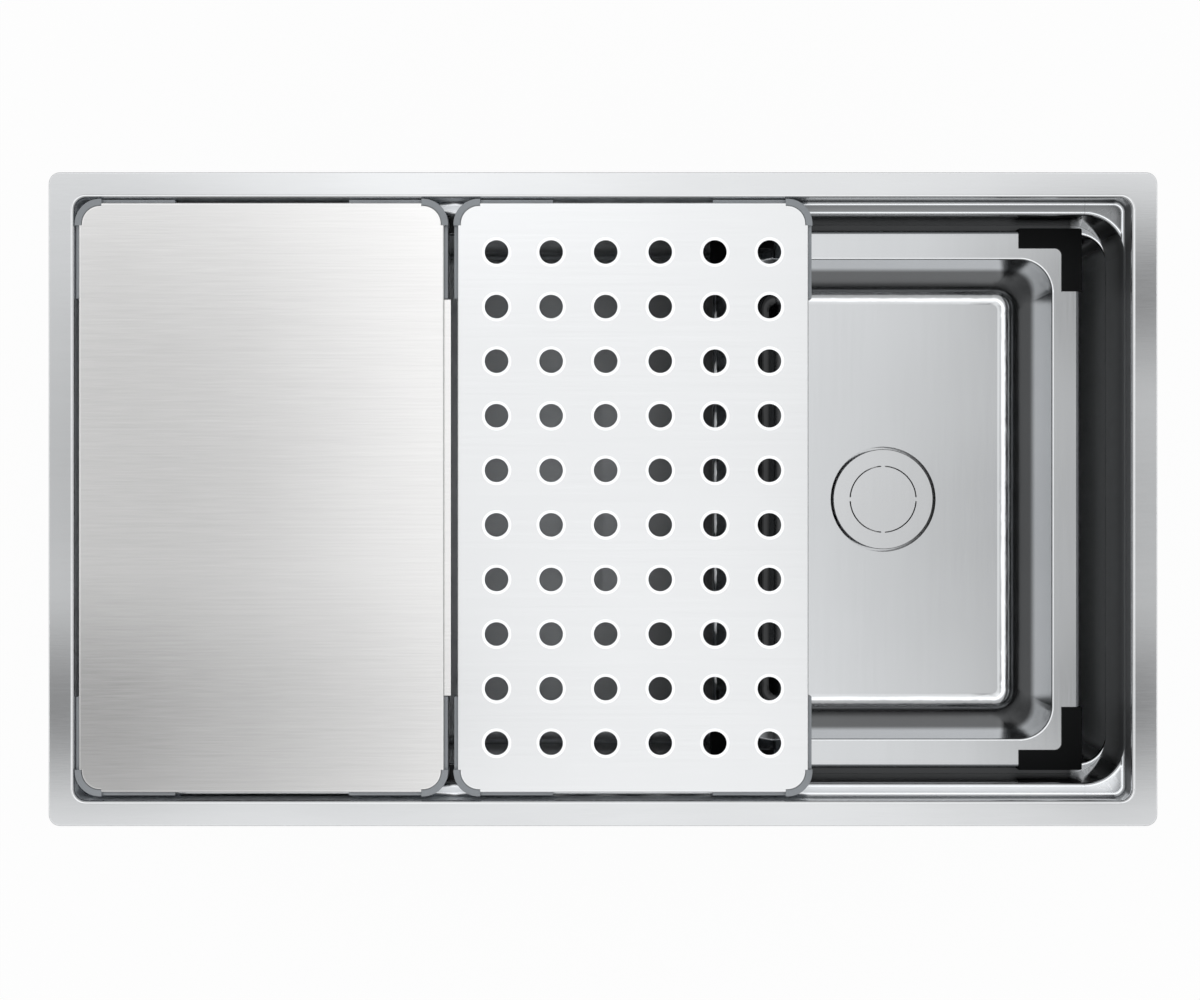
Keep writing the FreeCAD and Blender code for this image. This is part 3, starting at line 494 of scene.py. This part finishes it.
steels = {
    "rim_steel": {
        "grain": (60, 1400, 1400), "streak": (9, 120, 120), "cloud": 9.0, "stain": 0.03,
        "dark": 0.765, "light": 0.8, "warmth": -0.016, "roughness": (0.045, 0.075),
        "groove": 0.000002, "edge": 0.0003,
    },
    "solid_board_steel": {
        "grain": (34, 2600, 2600), "streak": (9, 900, 900), "cloud": 7.0, "stain": 0.04,
        "dark": 0.79, "light": 0.87, "warmth": 0.004, "roughness": (0.11, 0.16),
        "groove": 0.000004, "edge": 0.0003, "zones": boardZones,
    },
    "perforated_board_steel": {
        "grain": (24, 2200, 2200), "streak": (6, 420, 420), "cloud": 8.0, "stain": 0.02,
        "dark": 0.85, "light": 0.89, "warmth": -0.014, "roughness": (0.1, 0.16),
        "groove": 0.000005, "edge": 0.0003,
    },
    "bowl_steel": {
        "grain": (30, 1300, 1300), "streak": (8, 200, 200), "cloud": 9.0, "stain": 0.05,
        "dark": 0.69, "light": 0.73, "warmth": -0.028, "roughness": (0.2, 0.26),
        "groove": 0.000003, "edge": 0.0004, "zones": bowlZones,
    },
    "basin_steel": {
        "grain": (1300, 30, 1300), "streak": (200, 8, 200), "cloud": 9.0, "stain": 0.04,
        "dark": 0.7, "light": 0.725, "warmth": -0.022, "roughness": (0.09, 0.12),
        "groove": 0.0000007, "edge": 0.0003, "zones": basinZones,
    },
    "cover_steel": {
        "grain": (1300, 30, 1300), "streak": (200, 8, 200), "cloud": 14.0, "stain": 0.03,
        "dark": 0.7, "light": 0.725, "warmth": -0.018, "roughness": (0.1, 0.13),
        "groove": 0.0000007, "edge": 0.0002,
    },
    "drain_steel": {
        "grain": (300, 300, 1500), "streak": (40, 40, 300), "cloud": 20.0, "stain": 0.08,
        "dark": 0.56, "light": 0.66, "warmth": -0.005, "roughness": (0.12, 0.2),
        "groove": 0.000006, "edge": 0.0004,
    },
    "screw_steel": {
        "grain": (400, 400, 400), "streak": (60, 60, 60), "cloud": 30.0, "stain": 0.15,
        "dark": 0.55, "light": 0.68, "warmth": -0.02, "roughness": (0.28, 0.4),
        "groove": 0.0003, "edge": 0.0003, "relief": threads,
    },
    "clamp_steel": {
        "grain": (400, 400, 400), "streak": (60, 60, 60), "cloud": 30.0, "stain": 0.2,
        "dark": 0.5, "light": 0.66, "warmth": -0.02, "roughness": (0.3, 0.45),
        "groove": 0.00001, "edge": 0.0003,
    },
}

mouldings = {
    "foot_plastic": {
        "dark": grey(0.25, -0.07), "light": grey(0.32, -0.07), "scale": 900.0, "cloud": 30.0,
        "roughness": (0.32, 0.45), "shine": 0.5, "groove": 0.00003, "edge": 0.0006,
    },
    "pad_rubber": {
        "dark": grey(0.003, -0.12), "light": grey(0.005, -0.12), "scale": 1400.0, "cloud": 40.0,
        "roughness": (0.55, 0.7), "shine": 0.13, "groove": 0.00003, "edge": 0.0006,
    },
    "seal_rubber": {
        "dark": grey(0.01), "light": grey(0.02), "scale": 1200.0, "cloud": 40.0,
        "roughness": (0.5, 0.7), "shine": 0.4, "groove": 0.00003, "edge": 0.0004,
    },
    "friction_paper": {
        "dark": (0.3, 0.2, 0.11, 1), "light": (0.5, 0.36, 0.2, 1), "scale": 1500.0, "cloud": 90.0,
        "roughness": (0.75, 0.95), "shine": 0.2, "groove": 0.00006, "edge": 0.0002,
    },
    "nut_plastic": {
        "dark": grey(0.68, 0.01), "light": grey(0.76, 0.01), "scale": 900.0, "cloud": 25.0,
        "roughness": (0.3, 0.45), "shine": 0.5, "groove": 0.00003, "edge": 0.0007,
    },
    "shoe_plastic": {
        "dark": grey(0.02), "light": grey(0.035), "scale": 1000.0, "cloud": 50.0,
        "roughness": (0.4, 0.55), "shine": 0.45, "groove": 0.00003, "edge": 0.0005,
    },
    "sound_pad_rubber": {
        "dark": grey(0.03), "light": grey(0.05), "scale": 700.0, "cloud": 20.0,
        "roughness": (0.6, 0.8), "shine": 0.3, "groove": 0.0006, "edge": 0.0008, "relief": diamonds,
    },
}

finishes = {slot: brushedSteel(slot, look) for slot, look in steels.items()}
finishes.update({slot: mouldedFinish(slot, look) for slot, look in mouldings.items()})
slotOf = {part["node"]: part["material_slot"] for part in frame["record"]["subparts"]}
slotOf["clamp_screws"] = "screw_steel"


def dress(piece, slot):
    if not piece.data.materials:
        piece.data.materials.append(finishes[slot])
    for place in piece.material_slots:
        place.material = finishes[slot]


for name, piece in nodes.items():
    dress(piece, slotOf[name])
print("finishes made")
